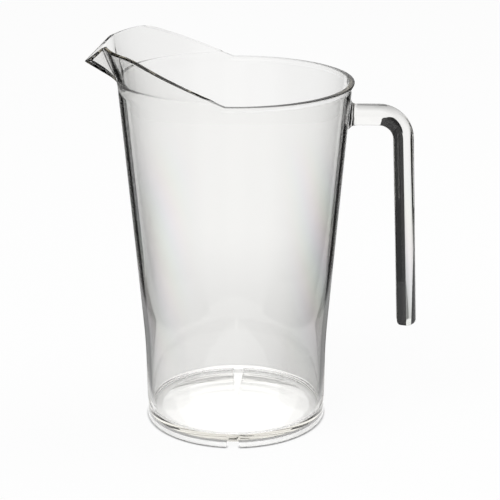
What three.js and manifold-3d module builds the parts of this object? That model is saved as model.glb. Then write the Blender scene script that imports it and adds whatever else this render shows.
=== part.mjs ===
// A clear moulded table pitcher: a tapered vessel with a raised pouring lip and a drained foot
// ring, and a J-shaped handle bar welded to its wall. Millimetres, +Z up, the foot on z = 0.
// The spout points along -X and the handle along +X.

import * as THREE from "three";
import { mergeVertices } from "three/addons/utils/BufferGeometryUtils.js";
import Module from "manifold-3d";

// Vessel wall
const RIM_HEIGHT = 220;
const RIM_RADIUS = 72;
const WAIST_HEIGHT = 52;
const WAIST_RADIUS = 57.9;
const FOOT_RADIUS = 57.2;
const WALL_AT_RIM = 2.4;
const WALL_AT_FOOT = 3;
const WAIST_BLEND = 0.9;

// Floor and foot ring
const FLOOR_TOP = 7.7;
const FLOOR_THICKNESS = 4.8;
const FLOOR_FILLET = 2.6;
const RING_THICKNESS = 3;
const RING_DRAFT = 0.3;
const FOOT_ROUND = 1;
const NOTCH_WIDTH = 8.7;
const NOTCH_TOP_WIDTH = 7.1;
const NOTCH_HEIGHT = 4.2;

// Rim and pouring lip
const RIM_EDGE = 0.8;
const BEAD_OUT = 1.3;
const BEAD_HEIGHT = 4.5;
const CREASE_RISE = 2.8;
const CREASE_BLEND = 0.5;
const CREASE_BEAD = 0.6;
const CREASE_STEP = 1.6;
const COLLAR_FLARE = 0.305;
const RAMP_START = 3.2;
const RAMP_SLOPE = 0.418;
const RAMP_BLEND = 0.8;
const WING_BLEND = 2.5;
const LIP_RISE = 23.6;
const LIP_HALF_WIDTH = 17;
const TIP_OVERHANG = 20.1;
const TIP_DROP = 12.2;
const THROAT_DROP = 0.9;
const FOLD_BLEND = 5;
const KEEL_ROUND = 0.015;
const LIP_CORNER_BLEND = 1.2;

// Where the bead grows from its crease part to its flat part, as a cosine round the axis, and
// where it ends beside the beak, as an angle from the spout
const FLAT_BEAD_START = -0.25;
const FLAT_BEAD_FULL = 0.05;
const BEAK_SIDE = 0.08;
const BEAK_CLEAR = 0.4;

// Handle bar
const HANDLE_WIDTH = 13;
const HANDLE_INNER_WIDTH = 8;
const HANDLE_CROWN = 6.9;
const HANDLE_BELLY = 5.9;
const HANDLE_BELOW_RIM = 14.3;
const HANDLE_STANDOFF = 31.4;
const HANDLE_HEIGHT = 137.3;
const HANDLE_BEND = 15.4;
const HANDLE_SPLAY = THREE.MathUtils.degToRad(2.6);
const HANDLE_TAPER = 0.045;
const HANDLE_END_ROUND = 3.4;
const ROOT_FLARE = 0.42;
const ROOT_FLARE_LENGTH = 5;
const WELD_GAP = 0.3;

// Mesh fineness
const COLUMNS = 112;
const SPOUT_CROWDING = 0.55;
const BAR_SIDES = 13;

const wasm = await Module();
wasm.setup();

const CLEAR_PLASTIC = { color: 0xeef1f1, roughness: 0.06, metalness: 0, transparent: true, opacity: 0.35 };

// Blends of two surfaces, rounded where they come within `blend` of each other
function smoothMax(a, b, blend) {
  const overlap = Math.max(blend - Math.abs(a - b), 0);
  return Math.max(a, b) + (overlap * overlap) / (4 * blend);
}

function smoothMin(a, b, blend) {
  return -smoothMax(-a, -b, blend);
}

function spread(from, to, count) {
  return Array.from({ length: count }, (_, i) => from + ((to - from) * i) / (count - 1));
}

// Solids and booleans
function solid(geometry) {
  const bare = geometry.clone();
  bare.deleteAttribute("normal");
  bare.deleteAttribute("uv");
  const merged = mergeVertices(bare);
  return new wasm.Manifold(
    new wasm.Mesh({
      numProp: 3,
      vertProperties: merged.attributes.position.array,
      triVerts: new Uint32Array(merged.index.array),
    }),
  );
}

function geometryOf(manifold) {
  const mesh = manifold.getMesh();
  const geometry = new THREE.BufferGeometry();
  geometry.setAttribute("position", new THREE.BufferAttribute(mesh.vertProperties, 3));
  geometry.setIndex(new THREE.BufferAttribute(mesh.triVerts, 1));
  geometry.computeVertexNormals();
  return geometry;
}

// A closed skin through a row of closed rings, with a fan to a middle point at each end
function loft(rings, firstPole, lastPole) {
  const sides = rings[0].length;
  const points = [firstPole, ...rings.flat(), lastPole];
  const last = points.length - 1;
  const at = (ring, side) => 1 + ring * sides + (side % sides);
  const faces = [];
  for (let side = 0; side < sides; side++) {
    faces.push(0, at(0, side + 1), at(0, side));
    faces.push(last, at(rings.length - 1, side), at(rings.length - 1, side + 1));
    for (let ring = 0; ring < rings.length - 1; ring++) {
      faces.push(at(ring, side), at(ring, side + 1), at(ring + 1, side));
      faces.push(at(ring, side + 1), at(ring + 1, side + 1), at(ring + 1, side));
    }
  }
  return new THREE.BufferGeometry().setFromPoints(points).setIndex(faces);
}

// Outside of the plain turned wall: a straight lower part that opens into a cone
const coneSlope = (RIM_RADIUS - WAIST_RADIUS) / (RIM_HEIGHT - WAIST_HEIGHT);
const footSlope = (WAIST_RADIUS - FOOT_RADIUS) / WAIST_HEIGHT;

function wallRadius(z) {
  const lower = FOOT_RADIUS + footSlope * z;
  const cone = WAIST_RADIUS + coneSlope * (z - WAIST_HEIGHT);
  return smoothMax(lower, cone, WAIST_BLEND);
}

function wallThickness(z) {
  return THREE.MathUtils.lerp(WALL_AT_FOOT, WALL_AT_RIM, Math.min(Math.max(z / RIM_HEIGHT, 0), 1));
}

// The collar flares out above a crease a little higher than the flat rim
const creaseHeight = RIM_HEIGHT + CREASE_RISE;
const collarBend = Math.tan((Math.atan(coneSlope) + Math.atan(coneSlope + COLLAR_FLARE)) / 2);

function collarRadius(z, inset) {
  const crease = creaseHeight + inset * collarBend;
  return wallRadius(z) + COLLAR_FLARE * smoothMax(0, z - crease, CREASE_BLEND) - inset;
}

// The beak: two flat facets that meet in a keel from the throat to the tip, and fold into the
// collar at the lip's corners
const lipTop = RIM_HEIGHT + LIP_RISE;
const lipCorner = new THREE.Vector3(
  -Math.sqrt(collarRadius(lipTop, 0) ** 2 - LIP_HALF_WIDTH ** 2),
  LIP_HALF_WIDTH,
  lipTop,
);
const tip = new THREE.Vector3(-(RIM_RADIUS + TIP_OVERHANG), 0, lipTop - TIP_DROP);
const throatHeight = RIM_HEIGHT - THROAT_DROP;
const throat = new THREE.Vector3(-wallRadius(throatHeight), 0, throatHeight);
const facet = new THREE.Plane().setFromCoplanarPoints(tip, lipCorner, throat);

// Distance from the axis to a facet, at an angle from the spout and a height
function beakRadius(angle, z, inset) {
  const forward = Math.cos(angle);
  if (forward <= 0) return 0;
  const sideways = Math.sqrt(Math.sin(angle) ** 2 + KEEL_ROUND ** 2) - KEEL_ROUND;
  const spread = -facet.normal.x * forward + facet.normal.y * sideways;
  return (-facet.constant - inset - facet.normal.z * z) / spread;
}

function surfaceRadius(angle, z, inset) {
  return smoothMax(collarRadius(z, inset), beakRadius(angle, z, inset), FOLD_BLEND);
}

// The edge of the rim: flat on the handle's half, a ramp up to the lip's corners, and a slope
// down from them to the tip
const lipSlope = TIP_DROP / (lipCorner.x - tip.x);

function rimHeight(x) {
  const ramp = RIM_HEIGHT + RAMP_SLOPE * smoothMax(0, -x - RAMP_START, RAMP_BLEND);
  const wing = smoothMin(ramp, lipTop, WING_BLEND);
  return smoothMin(wing, lipTop + lipSlope * (x - lipCorner.x), LIP_CORNER_BLEND);
}

// Heights at which a column of the wall meets the outer and inner edge of the rim, by halving
// the interval: the rim's face is square to the wall
function rimAt(angle) {
  let low = RIM_HEIGHT - LIP_RISE;
  let high = RIM_HEIGHT + 2 * LIP_RISE;
  for (let step = 0; step < 40; step++) {
    const z = (low + high) / 2;
    const x = -Math.cos(angle) * surfaceRadius(angle, z, 0);
    if (z > rimHeight(x)) high = z;
    else low = z;
  }
  const lean = surfaceRadius(angle, low + 0.5, 0) - surfaceRadius(angle, low - 0.5, 0);
  return [low, low + (WALL_AT_RIM * lean) / (1 + lean * lean)];
}

// A small bead stands out along the flat half of the rim, and goes on lower along the crease
// under the collar as far as the beak
function beadAt(angle, z) {
  const rise = THREE.MathUtils.smoothstep(z, RIM_HEIGHT - BEAD_HEIGHT, RIM_HEIGHT);
  const past = THREE.MathUtils.smoothstep(z, creaseHeight - CREASE_STEP / 2, creaseHeight + CREASE_STEP / 2);
  const flat = THREE.MathUtils.smoothstep(-Math.cos(angle), FLAT_BEAD_START, FLAT_BEAD_FULL);
  const clearOfBeak = THREE.MathUtils.smoothstep(Math.abs(angle), BEAK_SIDE, BEAK_CLEAR);
  return THREE.MathUtils.lerp(CREASE_BEAD * clearOfBeak, BEAD_OUT, flat) * rise * (1 - past);
}

// Heights up one side of the wall, the same count in each column: the collar part reaches the
// column's own edge, with stations below and above the step at the crease
const waistReach = WAIST_BLEND / (coneSlope - footSlope);
const neckHeight = RIM_HEIGHT - 2 * BEAD_HEIGHT;

function wallHeights(start, edge, crease) {
  const below = Math.min(crease - CREASE_STEP / 2, THREE.MathUtils.lerp(edge, neckHeight, 0.45));
  const above = Math.min(crease + CREASE_STEP / 2, THREE.MathUtils.lerp(edge, neckHeight, 0.3));
  return [
    ...spread(start, WAIST_HEIGHT - waistReach, 2),
    ...spread(WAIST_HEIGHT - waistReach, WAIST_HEIGHT + waistReach, 5).slice(1),
    ...spread(WAIST_HEIGHT + waistReach, neckHeight, 3).slice(1),
    ...spread(neckHeight, below, 5).slice(1),
    ...spread(above, edge, 8),
  ];
}

// A point on the way from one point of a section to another, at most near its middle
function toward(from, to, distance) {
  const share = Math.min(distance / Math.hypot(to[0] - from[0], to[1] - from[1]), 0.45);
  return from.map((value, k) => THREE.MathUtils.lerp(value, to[k], share));
}

// Middle of a corner that is rounded off along a parabola
function roundedMiddle(before, corner, after) {
  return corner.map((value, k) => (before[k] + 2 * value + after[k]) / 4);
}

// Section of the vessel at one angle, from the underside out, up, over the rim and down inside
function vesselSection(angle) {
  const ceiling = FLOOR_TOP - FLOOR_THICKNESS;
  const ringInside = FOOT_RADIUS - RING_THICKNESS;
  const section = [
    [ringInside - RING_DRAFT, ceiling],
    [ringInside, 0],
    [FOOT_RADIUS - FOOT_ROUND, 0],
    [FOOT_RADIUS - FOOT_ROUND * (1 - Math.SQRT1_2), FOOT_ROUND * (1 - Math.SQRT1_2)],
  ];
  const [outerEdge, innerEdge] = rimAt(angle);
  for (const z of wallHeights(FOOT_ROUND, outerEdge - RIM_EDGE, creaseHeight)) {
    section.push([surfaceRadius(angle, z, 0) + beadAt(angle, z), z]);
  }
  const filletTop = FLOOR_TOP + FLOOR_FILLET;
  const innerCrease = creaseHeight + WALL_AT_RIM * collarBend;
  const inside = wallHeights(filletTop, innerEdge - RIM_EDGE, innerCrease).reverse();
  const insideWall = inside.map((z) => [surfaceRadius(angle, z, wallThickness(z)), z]);
  const outer = [surfaceRadius(angle, outerEdge, 0) + beadAt(angle, outerEdge), outerEdge];
  const inner = [surfaceRadius(angle, innerEdge, WALL_AT_RIM), innerEdge];
  const faceStart = toward(outer, inner, RIM_EDGE);
  const faceEnd = toward(inner, outer, RIM_EDGE);
  section.push(roundedMiddle(section[section.length - 1], outer, faceStart), faceStart);
  section.push(faceEnd, roundedMiddle(faceEnd, inner, insideWall[0]), ...insideWall);
  const filletCentre = wallRadius(filletTop) - wallThickness(filletTop) - FLOOR_FILLET;
  for (const turn of spread(0, Math.PI / 2, 4).slice(1)) {
    section.push([
      filletCentre + FLOOR_FILLET * Math.cos(turn),
      filletTop - FLOOR_FILLET * Math.sin(turn),
    ]);
  }
  return section;
}

// Columns crowd together round the spout, where the wall folds, and one stands on each side
function columnAngles() {
  const angles = spread(-1, 1, COLUMNS + 1)
    .slice(0, COLUMNS)
    .map((t) => Math.PI * ((1 - SPOUT_CROWDING) * t + SPOUT_CROWDING * t ** 3));
  for (const side of [-Math.PI / 2, Math.PI / 2]) {
    const offs = angles.map((angle) => Math.abs(angle - side));
    angles[offs.indexOf(Math.min(...offs))] = side;
  }
  return angles;
}

// Drain notches through the foot ring, one on each side of the spout's plane: their sides close
// in, and their top rises from the underside of the floor to the outside of the ring
function notchCutter(side) {
  const ceiling = FLOOR_TOP - FLOOR_THICKNESS;
  const ringInside = FOOT_RADIUS - RING_THICKNESS;
  const inner = ringInside - RING_THICKNESS;
  const outer = FOOT_RADIUS + RING_THICKNESS;
  const top = ceiling + 2 * (NOTCH_HEIGHT - ceiling);
  const topHalf = NOTCH_WIDTH / 2 - ((NOTCH_WIDTH - NOTCH_TOP_WIDTH) / 2) * (top / NOTCH_HEIGHT);
  const front = new THREE.Shape([
    new THREE.Vector2(-NOTCH_WIDTH / 2, -1),
    new THREE.Vector2(NOTCH_WIDTH / 2, -1),
    new THREE.Vector2(NOTCH_WIDTH / 2, 0),
    new THREE.Vector2(topHalf, top),
    new THREE.Vector2(-topHalf, top),
    new THREE.Vector2(-NOTCH_WIDTH / 2, 0),
  ]);
  const through = new THREE.ExtrudeGeometry(front, { depth: outer - inner, bevelEnabled: false });
  through.rotateX(Math.PI / 2);
  through.translate(0, outer, 0);
  const profile = new THREE.Shape([
    new THREE.Vector2(inner, -1),
    new THREE.Vector2(outer, -1),
    new THREE.Vector2(outer, top),
    new THREE.Vector2(ringInside, ceiling),
    new THREE.Vector2(inner, ceiling),
  ]);
  const across = new THREE.ExtrudeGeometry(profile, { depth: NOTCH_WIDTH, bevelEnabled: false });
  across.rotateX(Math.PI / 2);
  across.rotateZ(Math.PI / 2);
  across.translate(-NOTCH_WIDTH / 2, 0, 0);
  if (side < 0) {
    through.rotateZ(Math.PI);
    across.rotateZ(Math.PI);
  }
  return solid(through).intersect(solid(across));
}

function makeVessel() {
  const angles = columnAngles();
  const sections = angles.map(vesselSection);
  const rings = sections[0].map((_, station) =>
    sections.map((section, column) => {
      const [radius, z] = section[station];
      return new THREE.Vector3(-radius * Math.cos(angles[column]), -radius * Math.sin(angles[column]), z);
    }),
  );
  const underside = new THREE.Vector3(0, 0, FLOOR_TOP - FLOOR_THICKNESS);
  const floor = new THREE.Vector3(0, 0, FLOOR_TOP);
  const body = solid(loft(rings, underside, floor));
  return geometryOf(body.subtract(notchCutter(1)).subtract(notchCutter(-1)));
}

// Section of the bar, with a rounded crown on the palm's side and flat sides that close in
// towards the fingers: `out` points away from the vessel, `across` along Y
function barSection() {
  const outline = [];
  for (const turn of spread(0, Math.PI, BAR_SIDES)) {
    outline.push({ across: (HANDLE_WIDTH / 2) * Math.cos(turn), out: HANDLE_CROWN * Math.sin(turn) });
  }
  outline.push({ across: -HANDLE_INNER_WIDTH / 2, out: -HANDLE_BELLY });
  outline.push({ across: HANDLE_INNER_WIDTH / 2, out: -HANDLE_BELLY });
  return outline;
}

// Stations along the bar from inside the wall to the lower end: where the section stands,
// which way is out, and how large it is there
function barStations() {
  const top = RIM_HEIGHT - HANDLE_BELOW_RIM - HANDLE_CROWN;
  const wall = wallRadius(top);
  const bendX = RIM_RADIUS + HANDLE_STANDOFF - HANDLE_BEND;
  const bendZ = top - HANDLE_BEND;
  const turn = Math.PI / 2 - HANDLE_SPLAY;
  const drop = bendZ + HANDLE_BEND * Math.cos(turn) - (top - HANDLE_HEIGHT);
  const stations = [];
  const rootStart = wall - 2 * WALL_AT_FOOT;
  for (const x of [rootStart, ...spread(wall - WELD_GAP, wall + ROOT_FLARE_LENGTH, 6), bendX]) {
    const left = Math.min(Math.max(1 - (x - wall) / ROOT_FLARE_LENGTH, 0), 1);
    const size = 1 + ROOT_FLARE * (1 - Math.sqrt(1 - left * left));
    stations.push({ x, z: top, tilt: 0, size });
  }
  for (const tilt of spread(0, turn, 12).slice(1)) {
    const x = bendX + HANDLE_BEND * Math.sin(tilt);
    stations.push({ x, z: bendZ + HANDLE_BEND * Math.cos(tilt), tilt, size: 1 });
  }
  const start = stations[stations.length - 1];
  const length = drop / Math.cos(HANDLE_SPLAY);
  const nose = spread(0, Math.PI / 2, 6).map((a) => length - HANDLE_END_ROUND * (1 - Math.sin(a)));
  for (const along of [...spread(0, nose[0], 4).slice(1), ...nose.slice(1)]) {
    const past = Math.max(along - nose[0], 0) / HANDLE_END_ROUND;
    const inset = HANDLE_END_ROUND * (1 - Math.sqrt(Math.max(1 - past * past, 0)));
    stations.push({
      x: start.x + along * Math.sin(HANDLE_SPLAY),
      z: start.z - along * Math.cos(HANDLE_SPLAY),
      tilt: turn,
      size: (1 - (HANDLE_TAPER * along) / length) * (1 - inset / HANDLE_CROWN),
    });
  }
  return stations;
}

// Everything within a weld's gap of the wall, to shape the handle's saddle
function wallCore() {
  const base = RIM_HEIGHT - HANDLE_BELOW_RIM - HANDLE_HEIGHT / 2;
  const profile = [
    new THREE.Vector2(0, base),
    new THREE.Vector2(wallRadius(base) + WELD_GAP, base),
    new THREE.Vector2(wallRadius(RIM_HEIGHT) + WELD_GAP, RIM_HEIGHT),
    new THREE.Vector2(0, RIM_HEIGHT),
  ];
  const core = new THREE.LatheGeometry(profile, 2 * COLUMNS);
  core.rotateX(Math.PI / 2);
  return solid(core);
}

function makeHandle() {
  const outline = barSection();
  const stations = barStations();
  const place = (station, point) => {
    const out = point.out * station.size;
    return new THREE.Vector3(
      station.x + out * Math.sin(station.tilt),
      point.across * station.size,
      station.z + out * Math.cos(station.tilt),
    );
  };
  const rings = stations.map((station) => outline.map((point) => place(station, point)));
  const middle = { across: 0, out: 0 };
  const bar = loft(rings, place(stations[0], middle), place(stations[stations.length - 1], middle));
  return geometryOf(solid(bar).subtract(wallCore()));
}

// Assembly: the footprint's middle is the origin
const pitcher = new THREE.Group();

const vessel = new THREE.Mesh(makeVessel(), new THREE.MeshStandardMaterial(CLEAR_PLASTIC));
vessel.name = "vessel";
pitcher.add(vessel);

const handle = new THREE.Mesh(makeHandle(), new THREE.MeshStandardMaterial(CLEAR_PLASTIC));
handle.name = "handle";
pitcher.add(handle);

const footprint = new THREE.Box3().setFromObject(pitcher);
pitcher.position.x = -(footprint.min.x + footprint.max.x) / 2;

export default pitcher;
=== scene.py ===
"""Looks of a clear moulded table pitcher: the vessel and its welded handle in fine meshes, on a white set."""

import math

import bpy
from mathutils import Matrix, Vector


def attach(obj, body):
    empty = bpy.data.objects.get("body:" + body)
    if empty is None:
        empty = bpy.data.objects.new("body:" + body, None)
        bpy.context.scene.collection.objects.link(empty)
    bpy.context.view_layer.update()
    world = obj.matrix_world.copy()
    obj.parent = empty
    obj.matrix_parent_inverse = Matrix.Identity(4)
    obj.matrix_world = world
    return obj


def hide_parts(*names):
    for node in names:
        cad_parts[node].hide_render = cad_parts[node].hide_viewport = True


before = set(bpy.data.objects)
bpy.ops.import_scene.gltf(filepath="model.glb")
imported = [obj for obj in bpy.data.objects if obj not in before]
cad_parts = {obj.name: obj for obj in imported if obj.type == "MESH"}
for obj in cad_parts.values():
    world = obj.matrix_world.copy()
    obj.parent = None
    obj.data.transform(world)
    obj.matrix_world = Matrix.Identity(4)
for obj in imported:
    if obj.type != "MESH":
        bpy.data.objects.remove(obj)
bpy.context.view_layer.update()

MM = 0.001

# The vessel's axis lies this far from the middle of the footprint, in millimetres
AXIS_X = -11.906

# Vessel wall, in millimetres
RIM_HEIGHT = 220
RIM_RADIUS = 72
WAIST_HEIGHT = 52
WAIST_RADIUS = 57.9
FOOT_RADIUS = 57.2
WALL_AT_RIM = 2.4
WALL_AT_FOOT = 3
WAIST_BLEND = 0.9

# Floor and foot ring, in millimetres
FLOOR_TOP = 7.7
FLOOR_THICKNESS = 4.8
FLOOR_FILLET = 2.6
RING_THICKNESS = 3
RING_DRAFT = 0.3
RING_ROOT_ROUND = 0.6
RING_EDGE_ROUND = 0.4
FOOT_ROUND = 1
NOTCH_WIDTH = 8.7
NOTCH_TOP_WIDTH = 7.1
NOTCH_HEIGHT = 4.2

# Rim and pouring lip, in millimetres
RIM_EDGE = 0.8
BEAD_OUT = 1.25
BEAD_HEIGHT = 4.5
CREASE_BEAD = 0.6
CREASE_STEP = 1.6
CREASE_RISE = 2.8
CREASE_BLEND = 0.5
COLLAR_FLARE = 0.305
RAMP_START = 3.2
RAMP_SLOPE = 0.418
RAMP_BLEND = 0.8
WING_BLEND = 2.5
LIP_RISE = 23.54
LIP_HALF_WIDTH = 17
TIP_OVERHANG = 20.06
TIP_DROP = 12.2
THROAT_DROP = 0.9
FOLD_BLEND = 5
KEEL_ROUND = 0.015
LIP_CORNER_BLEND = 1.2

# Where the bead grows to its full size, as the cosine from the handle, and where it leaves the beak, in radians
BEAD_FLAT = (-0.25, 0.05)
BEAD_CLEAR = (0.08, 0.4)

# Handle bar, in millimetres
HANDLE_WIDTH = 13
HANDLE_INNER_WIDTH = 8
HANDLE_CROWN = 6.9
HANDLE_BELLY = 5.9
HANDLE_BELOW_RIM = 14.3
HANDLE_STANDOFF = 31.4
HANDLE_HEIGHT = 137.3
HANDLE_BEND = 15.4
HANDLE_SPLAY = math.radians(2.6)
HANDLE_TAPER = 0.045
HANDLE_END_ROUND = 3.4
HANDLE_CORNER = 1
ROOT_FLARE = 0.42
ROOT_FLARE_LENGTH = 5
WELD_GAP = 0.3

# Fineness of the meshes
COLUMNS = 420
SPOUT_CROWDING = 0.55
NOTCH_COLUMNS = 15
NOTCH_MARGIN = 0.3
CLOSEST_COLUMNS = 2e-4
SHARP_ANGLE = math.radians(50)


def smooth_max(a, b, blend):
    overlap = max(blend - abs(a - b), 0)
    return max(a, b) + overlap * overlap / (4 * blend)


def smooth_min(a, b, blend):
    return -smooth_max(-a, -b, blend)


def smoothstep(value, low, high):
    t = min(max((value - low) / (high - low), 0), 1)
    return t * t * (3 - 2 * t)


def lerp(a, b, t):
    return a + (b - a) * t


def spread(start, end, count):
    return [start + (end - start) * i / (count - 1) for i in range(count)]


# Turned wall

CONE_SLOPE = (RIM_RADIUS - WAIST_RADIUS) / (RIM_HEIGHT - WAIST_HEIGHT)
FOOT_SLOPE = (WAIST_RADIUS - FOOT_RADIUS) / WAIST_HEIGHT


def wall_radius(z):
    lower = FOOT_RADIUS + FOOT_SLOPE * z
    cone = WAIST_RADIUS + CONE_SLOPE * (z - WAIST_HEIGHT)
    return smooth_max(lower, cone, WAIST_BLEND)


def wall_thickness(z):
    return lerp(WALL_AT_FOOT, WALL_AT_RIM, min(max(z / RIM_HEIGHT, 0), 1))


# Collar and beak

CREASE = RIM_HEIGHT + CREASE_RISE
COLLAR_BEND = math.tan((math.atan(CONE_SLOPE) + math.atan(CONE_SLOPE + COLLAR_FLARE)) / 2)


def collar_radius(z, inset):
    crease = CREASE + inset * COLLAR_BEND
    return wall_radius(z) + COLLAR_FLARE * smooth_max(0, z - crease, CREASE_BLEND) - inset


LIP_TOP = RIM_HEIGHT + LIP_RISE
LIP_CORNER = Vector((
    -math.sqrt(collar_radius(LIP_TOP, 0) ** 2 - LIP_HALF_WIDTH ** 2), LIP_HALF_WIDTH, LIP_TOP))
TIP = Vector((-(RIM_RADIUS + TIP_OVERHANG), 0, LIP_TOP - TIP_DROP))
THROAT_HEIGHT = RIM_HEIGHT - THROAT_DROP
THROAT = Vector((-wall_radius(THROAT_HEIGHT), 0, THROAT_HEIGHT))
FACET = (THROAT - LIP_CORNER).cross(TIP - LIP_CORNER).normalized()
FACET_REACH = FACET.dot(THROAT)
LIP_SLOPE = TIP_DROP / (LIP_CORNER.x - TIP.x)


def beak_radius(angle, z, inset):
    forward = math.cos(angle)
    if forward <= 0:
        return 0
    sideways = math.sqrt(math.sin(angle) ** 2 + KEEL_ROUND ** 2) - KEEL_ROUND
    return (FACET_REACH - inset - FACET.z * z) / (-FACET.x * forward + FACET.y * sideways)


def surface_radius(angle, z, inset):
    return smooth_max(collar_radius(z, inset), beak_radius(angle, z, inset), FOLD_BLEND)


def rim_height(x):
    ramp = RIM_HEIGHT + RAMP_SLOPE * smooth_max(0, -x - RAMP_START, RAMP_BLEND)
    wing = smooth_min(ramp, LIP_TOP, WING_BLEND)
    return smooth_min(wing, LIP_TOP + LIP_SLOPE * (x - LIP_CORNER.x), LIP_CORNER_BLEND)


def rim_at(angle):
    """Heights of the rim's outer and inner edge: its face is square to the wall."""
    low = RIM_HEIGHT - LIP_RISE
    high = RIM_HEIGHT + 2 * LIP_RISE
    for _ in range(40):
        z = (low + high) / 2
        if z > rim_height(-math.cos(angle) * surface_radius(angle, z, 0)):
            high = z
        else:
            low = z
    lean = surface_radius(angle, low + 0.5, 0) - surface_radius(angle, low - 0.5, 0)
    return low, low + WALL_AT_RIM * lean / (1 + lean * lean)


def bead_at(angle, z):
    """The bead stands out along the flat half of the rim, and goes on along the crease to the beak."""
    rise = smoothstep(z, RIM_HEIGHT - BEAD_HEIGHT, RIM_HEIGHT)
    fall = 1 - smoothstep(z, CREASE - CREASE_STEP / 2, CREASE + CREASE_STEP / 2)
    flat = smoothstep(-math.cos(angle), *BEAD_FLAT)
    clear_of_beak = smoothstep(abs(angle), *BEAD_CLEAR)
    return lerp(CREASE_BEAD * clear_of_beak, BEAD_OUT, flat) * rise * fall


# Section of the vessel at one angle

WAIST_REACH = WAIST_BLEND / (CONE_SLOPE - FOOT_SLOPE)
NECK = RIM_HEIGHT - 2 * BEAD_HEIGHT


def wall_heights(start, edge, crease):
    bend = min(crease, lerp(edge, NECK, 0.4))
    return (
        spread(start, WAIST_HEIGHT - WAIST_REACH, 5)
        + spread(WAIST_HEIGHT - WAIST_REACH, WAIST_HEIGHT + WAIST_REACH, 12)[1:]
        + spread(WAIST_HEIGHT + WAIST_REACH, NECK, 7)[1:]
        + spread(NECK, bend, 16)[1:]
        + spread(bend, edge, 40)[1:]
    )


def rounded(before, corner, after, count):
    """A corner cut off along a parabola that leaves both sides smoothly."""
    points = []
    for t in spread(0, 1, count):
        points.append([
            (1 - t) ** 2 * before[k] + 2 * t * (1 - t) * corner[k] + t * t * after[k] for k in (0, 1)])
    return points


def notch_lift(angle):
    """1 in the two drain notches, 0 where the foot ring stands on the table."""
    off = abs(abs(angle) - math.pi / 2) * FOOT_RADIUS
    slope = (NOTCH_WIDTH - NOTCH_TOP_WIDTH) / 2
    return smoothstep(NOTCH_WIDTH / 2 - off, 0, slope)


def toward(a, b, distance):
    span = math.hypot(b[0] - a[0], b[1] - a[1])
    return [lerp(a[k], b[k], min(distance / span, 0.45)) for k in (0, 1)]


def vessel_section(angle):
    """Radius and height of each station, from under the floor round the rim to the floor's top."""
    lift = notch_lift(angle)
    ceiling = FLOOR_TOP - FLOOR_THICKNESS
    bottom = lift * NOTCH_HEIGHT
    ring_inside = FOOT_RADIUS - RING_THICKNESS
    root = [ring_inside - RING_DRAFT, ceiling]
    inside_edge = [ring_inside + RING_DRAFT * lift, lift * ceiling]
    outside_edge = [FOOT_RADIUS, bottom]
    section = rounded(
        toward(root, [0, ceiling], RING_ROOT_ROUND), root, toward(root, inside_edge, RING_ROOT_ROUND), 5)
    section += rounded(
        toward(inside_edge, root, RING_EDGE_ROUND), inside_edge,
        toward(inside_edge, outside_edge, RING_EDGE_ROUND), 5)
    section += rounded(
        toward(outside_edge, inside_edge, FOOT_ROUND), outside_edge, [FOOT_RADIUS, bottom + FOOT_ROUND], 7)

    outer_edge, inner_edge = rim_at(angle)
    for z in wall_heights(bottom + FOOT_ROUND, outer_edge - RIM_EDGE, CREASE)[1:]:
        section.append([surface_radius(angle, z, 0) + bead_at(angle, z), z])
    outer = [surface_radius(angle, outer_edge, 0) + bead_at(angle, outer_edge), outer_edge]
    inner = [surface_radius(angle, inner_edge, WALL_AT_RIM), inner_edge]
    z = inner_edge - RIM_EDGE
    inner_start = [surface_radius(angle, z, wall_thickness(z)), z]
    section += rounded(section[-1], outer, toward(outer, inner, RIM_EDGE), 7)[1:]
    section += rounded(toward(inner, outer, RIM_EDGE), inner, inner_start, 7)

    fillet_top = FLOOR_TOP + FLOOR_FILLET
    inner_crease = CREASE + WALL_AT_RIM * COLLAR_BEND
    for z in wall_heights(fillet_top, inner_edge - RIM_EDGE, inner_crease)[-2::-1]:
        section.append([surface_radius(angle, z, wall_thickness(z)), z])
    centre = wall_radius(fillet_top) - wall_thickness(fillet_top) - FLOOR_FILLET
    for turn in spread(0, math.pi / 2, 10)[1:]:
        section.append([
            centre + FLOOR_FILLET * math.cos(turn), fillet_top - FLOOR_FILLET * math.sin(turn)])
    return section


def column_angles():
    """Columns crowd together round the spout, and at the sides of the two drain notches."""
    angles = []
    for column in range(COLUMNS):
        t = 2 * column / COLUMNS - 1
        angles.append(math.pi * ((1 - SPOUT_CROWDING) * t + SPOUT_CROWDING * t ** 3))
    for side in (-1, 1):
        for off in spread(NOTCH_TOP_WIDTH / 2 - NOTCH_MARGIN, NOTCH_WIDTH / 2 + NOTCH_MARGIN, NOTCH_COLUMNS):
            angles += [side * math.pi / 2 + off / FOOT_RADIUS, side * math.pi / 2 - off / FOOT_RADIUS]
    angles.sort()
    return [a for a, b in zip(angles, angles[1:] + [math.pi + 1]) if b - a > CLOSEST_COLUMNS]


# Meshes


def loft(name, rings, first_pole, last_pole):
    """A closed skin through a row of closed rings, with a fan to a middle point at each end."""
    sides = len(rings[0])
    points = [first_pole] + [p for ring in rings for p in ring] + [last_pole]
    last = len(points) - 1

    def at(ring, side):
        return 1 + ring * sides + side % sides

    faces = []
    for side in range(sides):
        faces.append((0, at(0, side + 1), at(0, side)))
        faces.append((last, at(len(rings) - 1, side), at(len(rings) - 1, side + 1)))
        for ring in range(len(rings) - 1):
            faces.append((
                at(ring, side), at(ring, side + 1), at(ring + 1, side + 1), at(ring + 1, side)))
    mesh = bpy.data.meshes.new(name)
    mesh.from_pydata([((x + AXIS_X) * MM, y * MM, z * MM) for x, y, z in points], [], faces)
    mesh.shade_smooth()
    mesh.set_sharp_from_angle(angle=SHARP_ANGLE)
    mesh.update()
    return linked(bpy.data.objects.new(name, mesh))


def linked(obj):
    bpy.context.scene.collection.objects.link(obj)
    return obj


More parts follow.
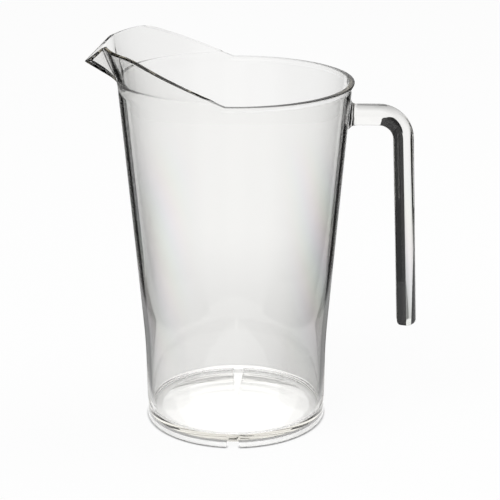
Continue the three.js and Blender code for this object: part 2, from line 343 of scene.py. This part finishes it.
def make_vessel():
    angles = column_angles()
    sections = [vessel_section(angle) for angle in angles]
    rings = []
    for station in range(len(sections[0])):
        ring = []
        for angle, section in zip(angles, sections):
            radius, z = section[station]
            ring.append((-radius * math.cos(angle), -radius * math.sin(angle), z))
        rings.append(ring)
    return loft("clear_vessel", rings, (0, 0, FLOOR_TOP - FLOOR_THICKNESS), (0, 0, FLOOR_TOP))


def bar_outline():
    """Section of the bar: a rounded crown, and flat sides that close in to a narrow inner face."""
    half = HANDLE_WIDTH / 2
    inner = HANDLE_INNER_WIDTH / 2
    corner = HANDLE_CORNER
    left, right = (-inner, -HANDLE_BELLY), (inner, -HANDLE_BELLY)
    outline = [(half * math.cos(t), HANDLE_CROWN * math.sin(t)) for t in spread(0, math.pi, 49)]
    outline += [toward((-half, 0), left, d) for d in (0.6, 2, 3.4)]
    outline += rounded(toward(left, (-half, 0), corner), left, toward(left, right, corner), 7)
    outline += [(x, -HANDLE_BELLY) for x in spread(-inner + corner, inner - corner, 5)[1:-1]]
    outline += rounded(toward(right, left, corner), right, toward(right, (half, 0), corner), 7)
    outline += [toward((half, 0), right, d) for d in (3.4, 2, 0.6)]
    return outline


def make_handle():
    outline = bar_outline()
    top = RIM_HEIGHT - HANDLE_BELOW_RIM - HANDLE_CROWN
    wall = wall_radius(top)
    bend_x = RIM_RADIUS + HANDLE_STANDOFF - HANDLE_BEND
    bend_z = top - HANDLE_BEND
    turn = math.pi / 2 - HANDLE_SPLAY
    rings = []

    def saddle(y, z):
        return math.sqrt((wall_radius(z) + WELD_GAP) ** 2 - y * y)

    def flare(x):
        left = min(max(1 - (x - wall) / ROOT_FLARE_LENGTH, 0), 1)
        return 1 + ROOT_FLARE * (1 - math.sqrt(1 - left * left))

    # The saddle's face, from its middle out to its edge
    foot = flare(wall)
    for share in (0.2, 0.4, 0.6, 0.8, 0.94):
        rings.append([
            (saddle(y * foot * share, top + o * foot * share), y * foot * share, top + o * foot * share)
            for y, o in outline])

    # The flared root
    for share in [1 - (1 - t) ** 2 for t in spread(0, 1, 14)]:
        ring = []
        for y, o in outline:
            start = saddle(y * foot, top + o * foot)
            x = lerp(start, wall + ROOT_FLARE_LENGTH, share)
            size = lerp(foot, flare(x), min(share * 8, 1))
            ring.append((x, y * size, top + o * size))
        rings.append(ring)

    # The bar's stations, each with its place, tilt and size: level, round the bend, down to the rounded end
    stations = [(x, top, 0, 1) for x in spread(wall + ROOT_FLARE_LENGTH, bend_x, 5)[1:]]
    for tilt in spread(0, turn, 40)[1:]:
        stations.append((
            bend_x + HANDLE_BEND * math.sin(tilt), bend_z + HANDLE_BEND * math.cos(tilt), tilt, 1))
    start_x, start_z = stations[-1][:2]
    length = (start_z - (top - HANDLE_HEIGHT)) / math.cos(HANDLE_SPLAY)
    nose = [length - HANDLE_END_ROUND * (1 - math.sin(a)) for a in spread(0, math.pi / 2, 14)]
    for along in spread(0, nose[0], 20)[1:] + nose[1:]:
        past = max(along - nose[0], 0) / HANDLE_END_ROUND
        inset = HANDLE_END_ROUND * (1 - math.sqrt(max(1 - past * past, 0)))
        stations.append((
            start_x + along * math.sin(HANDLE_SPLAY),
            start_z - along * math.cos(HANDLE_SPLAY),
            turn,
            (1 - HANDLE_TAPER * along / length) * (1 - inset / HANDLE_CROWN),
        ))
    x, z, tilt, size = stations[-1]
    stations += [(x, z, tilt, size * share) for share in (0.7, 0.4)]
    for x, z, tilt, size in stations:
        rings.append([
            (x + o * size * math.sin(tilt), y * size, z + o * size * math.cos(tilt)) for y, o in outline])
    end = stations[-1]
    return loft("clear_handle", rings, (saddle(0, top), 0, top), (end[0], 0, end[1]))


# Clear plastic: roughness under the floor, under the foot, on the rim and on the crease, with lengths in metres
MATT = 0.75
MATT_START = (0.0475, 0.049)
MATT_END = (0.0546, 0.055)
MATT_TOP = (0.0031, 0.0034)
SCUFFED = 0.6
SCUFF_HEIGHT = (0.0001, 0.0006)
RIM_LAND = 0.45
CREASE_LAND = 0.25
LAND_LOWER_EDGE = (-0.0005, -0.0002)
LAND_UPPER_EDGE = (0.0002, 0.0006)

# Clear plastic: haze, flow waves, coloured stress fringes and colour
HAZE = 0.012
HAZE_SCALE = 40
HAZE_CLOUDS = (0.4, 0.7)
FLOW_DEPTH = 0.00002
FLOW_SCALE = 22
STRESS = 0.025
STRESS_UP = 14
STRESS_ACROSS = 40
STRESS_SIDES = (0.025, 0.05)
STRESS_LOW = (0.03, 0.07)
STRESS_HIGH = (0.14, 0.18)
PLASTIC = (1, 0.999, 0.992, 1)
PLASTIC_IOR = 1.58
DEPTH_COLOUR = (0.6, 0.52, 0.3, 1)
DEPTH_DENSITY = 3

# The floor, in metres: seen through the plastic, painted shade makes it dimmer close round the object and
# painted light makes it glow brighter than white under it
FLOOR_Z = -0.0003
FLOOR_SIZE = 6
FLOOR_COLOUR = (0.85, 0.85, 0.85, 1)
FLOOR_GLOW = 0.94
# Painted shade close round the object, painted light under it, and the reach of a painted contact shade at its
# foot
FLOOR_PAINTED_SHADE = 0.8
FLOOR_PAINTED_SHADE_RANGE = (0.07, 0.4)
UNDER_PAINTED_LIGHT = 1.2
UNDER_PAINTED_LIGHT_RANGE = (0.067, 0.0745)
PAINTED_CONTACT_SHADE_REACH = 0.0016

# Flags, skirts and papers beside the line of sight, in metres from the vessel's axis: glowing dark sheets seen
# only in the plastic, as painted dark surroundings and painted shade
FLAG_FRONT = 0.2
FLAG_BACK = 0.9
FLAG_GAP = 0.112
FLAG_SPREAD = 0.36
FLAG_LOW = -0.5
FLAG_HIGH = 0.7
FLAG_STEPS = 24
# Painted glow of the flags, from the front of the set to the back
FLAG_RANGE = (-0.11, -0.01)
FLAG_LEVELS = (0.5, 0.01)
SKIRT_FRONT = -0.08
SKIRT_BACK = 0.15
SKIRT_GAP = 0.079
SKIRT_HIGH = 0.04
SKIRT_STEPS = 8
# An even painted glow for the skirts
SKIRT_LEVELS = (0.25, 0.25)
PAPER_INSIDE = 0.067
PAPER_FRONT = -0.03
PAPER_BACK = 0.75
PAPER_STEPS = 60
PAPER_TURN = 0.1
PAPER_FADE = (-0.1, 0.75)
PAPER_EDGE = (0.085, 0.125)
PAPER_EDGE_LOSS = 0.6
PAPER_EDGE_BACK = (0.1, 0.2)
SIGHT_SLANT = -0.035

# Side of each paper, where its painted shade darkens it, and its dark level
PAPERS = ((-1, (0.045, 0.1), 0.6), (1, (-0.02, 0.1), 0.47))

# Lamps, with place, size and power, and what the world gives besides being seen as white
LAMP_TARGET = (0, 0, 0.1)
LAMPS = (("key", (-0.6, -0.7, 1.5), 1.2, 14), ("fill", (0.9, 0.3, 1.3), 1.2, 8))
WORLD_LIGHT = 0.45
LIGHT_BOUNCES = 24

# Camera at the photograph's viewing angle, in millimetres from the vessel's axis
CAMERA_PLACE = (33.56, -961.06, 435.31)
CAMERA_TILT = math.radians(71.33)
CAMERA_TURN = math.radians(1.451)
CAMERA_LENS = 115.45
CAMERA_SENSOR = 36
CAMERA_CLIP_END = 50


# Materials


class Graph:
    """The nodes of one material or of the world, with short ways to make and join them."""

    def __init__(self, tree):
        self.nodes = tree.nodes
        self.links = tree.links
        self.nodes.clear()

    def node(self, kind, inputs=None, **settings):
        """A new node. An input takes a value, or a link from another node's output."""
        made = self.nodes.new("ShaderNode" + kind)
        for name, value in settings.items():
            setattr(made, name, value)
        for name, value in (inputs or {}).items():
            if isinstance(value, bpy.types.NodeSocket):
                self.links.new(value, made.inputs[name])
            else:
                made.inputs[name].default_value = value
        return made

    def math(self, operation, first, second=0):
        return self.node("Math", {0: first, 1: second}, operation=operation).outputs[0]

    def ramp(self, value, from_range, to_range):
        """The value carried smoothly from one range to another."""
        inputs = {"Value": value}
        inputs.update(zip(("From Min", "From Max", "To Min", "To Max"), from_range + to_range))
        return self.node("MapRange", inputs, interpolation_type="SMOOTHSTEP").outputs[0]

    def band(self, value, lower_edge, upper_edge, level):
        """The level between two soft edges, and 0 outside them."""
        return self.math(
            "MULTIPLY", self.ramp(value, lower_edge, (0, level)), self.ramp(value, upper_edge, (1, 0)))

    def place(self):
        """Object coordinates, as a vector and as distance across from the axis, depth and height."""
        vector = self.node("TexCoord").outputs["Object"]
        split = self.node("SeparateXYZ", {0: vector})
        across = self.math("SUBTRACT", split.outputs["X"], AXIS_X * MM)
        return vector, across, split.outputs["Y"], split.outputs["Z"]

    def seen_directly(self):
        """1 for rays that show the set: from the camera, off gloss and through the clear plastic."""
        path = self.node("LightPath").outputs
        near = self.math("MAXIMUM", path["Is Camera Ray"], path["Is Glossy Ray"])
        return self.math("MAXIMUM", near, path["Is Transmission Ray"])


def new_material(name):
    material = bpy.data.materials.new(name)
    material.use_nodes = True
    return material, Graph(material.node_tree)


def plastic_roughness(graph, vector, across, depth, height):
    """Matt zone under the floor, scuffed foot, fine lands on the rim and the crease, faint haze."""
    far = graph.math("SQRT", graph.math(
        "ADD", graph.math("POWER", across, 2), graph.math("POWER", depth, 2)))
    under = graph.math(
        "MULTIPLY", graph.band(far, MATT_START, MATT_END, MATT), graph.ramp(height, MATT_TOP, (1, 0)))
    rough = graph.math("MAXIMUM", under, graph.ramp(height, SCUFF_HEIGHT, (SCUFFED, 0)))
    ahead = graph.math("MAXIMUM", graph.math("SUBTRACT", -RAMP_START * MM, across), 0)
    over_flat = graph.math("SUBTRACT", height, RIM_HEIGHT * MM)
    over_rim = graph.math("SUBTRACT", over_flat, graph.math("MULTIPLY", ahead, RAMP_SLOPE))
    over_crease = graph.math("SUBTRACT", height, CREASE * MM)
    for over, level in ((over_rim, RIM_LAND), (over_crease, CREASE_LAND)):
        rough = graph.math("MAXIMUM", rough, graph.band(over, LAND_LOWER_EDGE, LAND_UPPER_EDGE, level))
    cloud = graph.node("TexNoise", {"Vector": vector, "Scale": HAZE_SCALE})
    return graph.math("MAXIMUM", rough, graph.ramp(cloud.outputs[0], HAZE_CLOUDS, (0, HAZE)))


def plastic_tint(graph, across, height):
    """Faint coloured fringes at the sides, over the plastic's own slightly warm colour."""
    hue = graph.math("FRACT", graph.math(
        "ADD", graph.math("MULTIPLY", height, STRESS_UP), graph.math("MULTIPLY", across, STRESS_ACROSS)))
    aside = graph.ramp(graph.math("ABSOLUTE", across), STRESS_SIDES, (0, STRESS))
    strength = graph.math("MULTIPLY", aside, graph.band(height, STRESS_LOW, STRESS_HIGH, 1))
    fringe = graph.node("CombineColor", {0: hue, 1: strength, 2: 1}, mode="HSV")
    warm = graph.node(
        "Mix", {"Factor": 1, 6: fringe.outputs[0], 7: PLASTIC}, data_type="RGBA", blend_type="MULTIPLY")
    return warm.outputs[2]


def clear_plastic():
    """Clear moulded plastic with shallow flow waves, a little darker and warmer with its depth."""
    material, graph = new_material("clear_plastic")
    vector, across, depth, height = graph.place()
    flow = graph.node("TexNoise", {"Vector": vector, "Scale": FLOW_SCALE, "Detail": 0})
    wave = graph.node("Bump", {"Strength": 1, "Distance": FLOW_DEPTH, "Height": flow.outputs[0]})
    shader = graph.node("BsdfPrincipled", {
        "Base Color": plastic_tint(graph, across, height),
        "Roughness": plastic_roughness(graph, vector, across, depth, height),
        "Normal": wave.outputs[0],
        "IOR": PLASTIC_IOR,
        "Transmission Weight": 1,
    })
    inside = graph.node("VolumeAbsorption", {"Color": DEPTH_COLOUR, "Density": DEPTH_DENSITY})
    graph.node("OutputMaterial", {"Surface": shader.outputs["BSDF"], "Volume": inside.outputs[0]})
    return material


def floor_shade(graph, position):
    """Distance from the vessel's axis, and the painted shade there: the paper is darker close round the object.
    """
    from_axis = graph.node("VectorMath", {0: position, 1: (AXIS_X * MM, 0, FLOOR_Z)}, operation="DISTANCE")
    far = from_axis.outputs["Value"]
    return far, graph.ramp(far, FLOOR_PAINTED_SHADE_RANGE, (FLOOR_PAINTED_SHADE, 1))


def floor_white():
    """White paper: it glows white and takes a soft shadow from the lamps. Seen through the plastic, painted
    shade makes it dimmer close round the object and painted light makes it glow brighter under it; seen from
    the camera, a painted contact shade darkens it at the object's foot.
    """
    material, graph = new_material("floor_white")
    far, shade = floor_shade(graph, graph.node("NewGeometry").outputs["Position"])
    # Painted light: the paper glows brighter than white under the object
    under = graph.ramp(far, UNDER_PAINTED_LIGHT_RANGE, (UNDER_PAINTED_LIGHT, 0))
    straight = graph.node("LightPath").outputs["Is Camera Ray"]
    # Painted contact shade at the object's foot, from ambient occlusion, for the camera's view
    painted_contact_shade = graph.node("AmbientOcclusion", {"Distance": PAINTED_CONTACT_SHADE_REACH}, samples=4)
    # Seen through the plastic: the painted shade round the object, or the painted light under it
    through_plastic = graph.math(
        "MULTIPLY", graph.math("MAXIMUM", shade, under), graph.math("SUBTRACT", 1, straight))
    level = graph.math("ADD", through_plastic, graph.math("MULTIPLY", straight, painted_contact_shade.outputs["AO"]))
    glow = graph.node("Emission", {"Strength": level})
    diffuse = graph.node("BsdfDiffuse", {"Color": FLOOR_COLOUR})
    share = graph.math("MULTIPLY", graph.seen_directly(), FLOOR_GLOW)
    mix = graph.node("MixShader", {0: share, 1: diffuse.outputs[0], 2: glow.outputs[0]})
    graph.node("OutputMaterial", {"Surface": mix.outputs[0]})
    return material


def painted_flag_glow(name, levels):
    """A glowing dark sheet seen only in the plastic, as painted dark surroundings and painted shade: its glow
    runs from the front of the set to the back.
    """
    material, graph = new_material(name)
    depth = graph.place()[2]
    glow = graph.node("Emission", {"Strength": graph.ramp(depth, FLAG_RANGE, levels)})
    graph.node("OutputMaterial", {"Surface": glow.outputs[0]})
    return material


def painted_side_shade(name, darkening, dark):
    """A glowing sheet on the floor beside and behind the object, seen only in the plastic: painted shade,
    darker with the distance from the line of sight.
    """
    material, graph = new_material(name)
    vector, across, depth, _ = graph.place()
    shade = floor_shade(graph, vector)[1]
    off = graph.math("ABSOLUTE", across)
    from_lane = graph.math("SUBTRACT", off, graph.math("MULTIPLY", depth, PAPER_TURN))
    side = graph.math(
        "MULTIPLY", graph.ramp(from_lane, darkening, (0, 1 - dark)), graph.ramp(depth, PAPER_FADE, (1, 0)))
    edge = graph.math(
        "MULTIPLY", graph.ramp(off, PAPER_EDGE, (0, PAPER_EDGE_LOSS)),
        graph.ramp(depth, PAPER_EDGE_BACK, (1, 0)))
    level = shade
    for loss in (edge, side):
        level = graph.math("MULTIPLY", level, graph.math("SUBTRACT", 1, loss))
    glow = graph.node("Emission", {"Strength": level})
    graph.node("OutputMaterial", {"Surface": glow.outputs[0]})
    return material


def white_world():
    """White where the set shows it, and a plain level of light on the object."""
    world = bpy.data.worlds.new("world")
    world.use_nodes = True
    graph = Graph(world.node_tree)
    level = graph.node("MapRange", {"Value": graph.seen_directly(), "To Min": WORLD_LIGHT, "To Max": 1})
    back = graph.node("Background", {"Color": (1, 1, 1, 1), "Strength": level.outputs[0]})
    graph.node("OutputWorld", {"Surface": back.outputs[0]})
    return world


# The object

plastic = clear_plastic()
for piece, cad_node in ((make_vessel(), "vessel"), (make_handle(), "handle")):
    piece.data.materials.append(plastic)
    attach(piece, "root")
    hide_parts(cad_node)


# The set: a white floor, lamps, and dark flags, skirts and papers beside the line of sight, which glow as
# painted dark surroundings and painted shade seen only in the plastic


def stage_mesh(name, points, faces, material):
    mesh = bpy.data.meshes.new(name)
    mesh.from_pydata(points, [], faces)
    mesh.materials.append(material)
    obj = linked(bpy.data.objects.new(name, mesh))
    return obj


def hanging(name, edges, material):
    """A strip between two rows of points, which only the clear plastic shows."""
    points = [point for edge in edges for point in edge]
    faces = [(i, i + 2, i + 3, i + 1) for i in range(0, len(points) - 2, 2)]
    obj = stage_mesh(name, points, faces, material)
    obj.visible_camera = False
    obj.visible_shadow = False
    obj.visible_diffuse = False
    return obj


def beside(side, away, gap):
    """Place across the set of a point that far away, at a gap from the line of sight."""
    return AXIS_X * MM + side * gap + SIGHT_SLANT * away


def flag_gap(away):
    """Half the width between the flags: an arc in front of the object, wider behind it."""
    if away < 0:
        return FLAG_GAP * math.sqrt(1 - (away / FLAG_FRONT) ** 2)
    return FLAG_GAP + FLAG_SPREAD * away * away


def make_flag():
    row = [-FLAG_FRONT * math.sin(turn) for turn in spread(math.pi / 2, 0, FLAG_STEPS)]
    row += spread(0, FLAG_BACK, FLAG_STEPS)[1:]
    edges = []
    for side, away in [(-1, away) for away in row[::-1]] + [(1, away) for away in row[1:]]:
        x = beside(side, away, flag_gap(away))
        edges.append([(x, away, FLAG_LOW), (x, away, FLAG_HIGH)])
    return hanging("flag", edges, painted_flag_glow("painted_flag_glow", FLAG_LEVELS))


def make_painted_side_shade(side, darkening, dark):
    edges = []
    for away in spread(PAPER_FRONT, PAPER_BACK, PAPER_STEPS):
        inside = math.sqrt(max(PAPER_INSIDE ** 2 - away ** 2, 0))
        edges.append([
            (AXIS_X * MM + side * gap, away, FLOOR_Z / 2) for gap in (inside, flag_gap(away))])
    return hanging("painted_side_shade", edges, painted_side_shade("painted_side_shade", darkening, dark))


# Dark glowing skirts low beside the object: painted shade seen only in the plastic
def make_skirt(side, painted_shade_material):
    edges = []
    for away in spread(SKIRT_FRONT, SKIRT_BACK, SKIRT_STEPS):
        edges.append([
            (beside(side, away, SKIRT_GAP), away, FLOOR_Z),
            (beside(side, away, FLAG_GAP), away, SKIRT_HIGH)])
    return hanging("skirt", edges, painted_shade_material)


def make_lamp(name, place, size, power):
    data = bpy.data.lights.new(name, "AREA")
    data.shape = "DISK"
    data.size = size
    data.energy = power
    lamp = linked(bpy.data.objects.new(name, data))
    lamp.location = place
    lamp.rotation_euler = (Vector(LAMP_TARGET) - Vector(place)).to_track_quat("-Z", "Y").to_euler()
    lamp.visible_camera = False
    lamp.visible_glossy = False
    lamp.visible_transmission = False


floor_corners = [
    (x * FLOOR_SIZE, y * FLOOR_SIZE, FLOOR_Z) for x, y in ((-1, -1), (1, -1), (1, 1), (-1, 1))]
stage_mesh("floor", floor_corners, [(0, 1, 2, 3)], floor_white())

# Dark glowing sheets seen only in the plastic: painted dark surroundings and painted shade
flags = [make_flag()]
for paper in PAPERS:
    flags.append(make_painted_side_shade(*paper))
painted_skirt_glow = painted_flag_glow("painted_skirt_glow", SKIRT_LEVELS)
for side in (-1, 1):
    flags.append(make_skirt(side, painted_skirt_glow))
for lamp in LAMPS:
    make_lamp(*lamp)

scene = bpy.context.scene
scene.world = white_world()

lens = bpy.data.cameras.new("camera")
lens.sensor_fit = "HORIZONTAL"
lens.sensor_width = CAMERA_SENSOR
lens.lens = CAMERA_LENS
lens.clip_end = CAMERA_CLIP_END
camera = linked(bpy.data.objects.new("camera", lens))
camera.location = ((CAMERA_PLACE[0] + AXIS_X) * MM, CAMERA_PLACE[1] * MM, CAMERA_PLACE[2] * MM)
camera.rotation_euler = (CAMERA_TILT, 0, CAMERA_TURN)
scene.camera = camera

# The flags stand on a turntable that turns with the camera, so they stay beside the line of sight
turntable = linked(bpy.data.objects.new("turntable", None))
turntable.location = (AXIS_X * MM, 0, 0)
follow = turntable.constraints.new("COPY_ROTATION")
follow.target = camera
follow.use_x = False
follow.use_y = False
bpy.context.view_layer.update()
for flag in flags:
    flag.parent = turntable
    flag.matrix_parent_inverse = turntable.matrix_world.inverted()

scene.view_settings.view_transform = "Standard"
scene.cycles.max_bounces = LIGHT_BOUNCES
scene.cycles.glossy_bounces = LIGHT_BOUNCES
scene.cycles.transmission_bounces = LIGHT_BOUNCES
